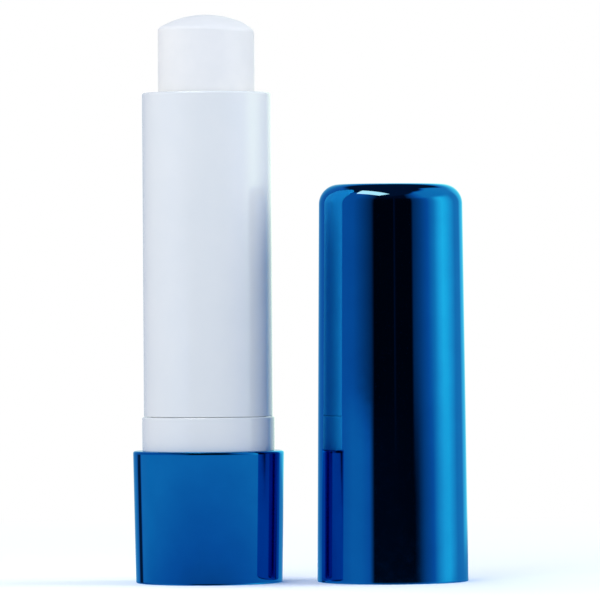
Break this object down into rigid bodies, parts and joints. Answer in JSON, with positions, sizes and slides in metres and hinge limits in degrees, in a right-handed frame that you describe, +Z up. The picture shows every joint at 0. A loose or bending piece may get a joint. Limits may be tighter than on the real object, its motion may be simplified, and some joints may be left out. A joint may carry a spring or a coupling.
{
  "type": "lip balm stick",
  "caption": "Twist-up lip balm stick: round blue base and pull-off cap, white collar and tube, balm raised by a hidden screw.",
  "frame": {"origin": "centre of the base's foot, on the surface that the stick stands on", "axes": "+Z up the stick's axis; +X from the stick towards the cap that stands beside it; -Y towards the viewer"},
  "size_m": [0.0424, 0.0192, 0.0719],
  "materials": {
    "blue_metallised": "blue metallised mirror coat on moulded plastic",
    "white_plastic": "smooth high-gloss moulded plastic",
    "inner_plastic": "natural moulded plastic",
    "balm": "smooth waxy balm, slightly translucent"
  },
  "bodies": {
    "base": {"base_shell": "blue_metallised", "base_insert": "white_plastic", "spindle": "inner_plastic"},
    "barrel": {"tube": "white_plastic", "guide_tube": "white_plastic"},
    "carriage": {"carrier": "inner_plastic", "balm": "balm"},
    "cap": {"cap": "blue_metallised"}
  },
  "joints": [
    {"name": "tube_turn", "type": "hinge", "parent": "base", "child": "barrel", "pos_m": [0, 0, 0.021], "axis": [0, 0, -1], "range_deg": [-630, 1860]},
    {"name": "balm_lift", "type": "slide", "parent": "barrel", "child": "carriage", "axis": [0, 0, 1], "range_m": [-0.0105, 0.031]},
    {"name": "cap_lift", "type": "slide", "parent": "base", "child": "cap", "axis": [0, 0, 1], "range_m": [0, 0.075]}
  ],
  "couplings": [
    {"joint": "balm_lift", "follows": "tube_turn", "m_per_rad": 0.0009549}
  ]
}
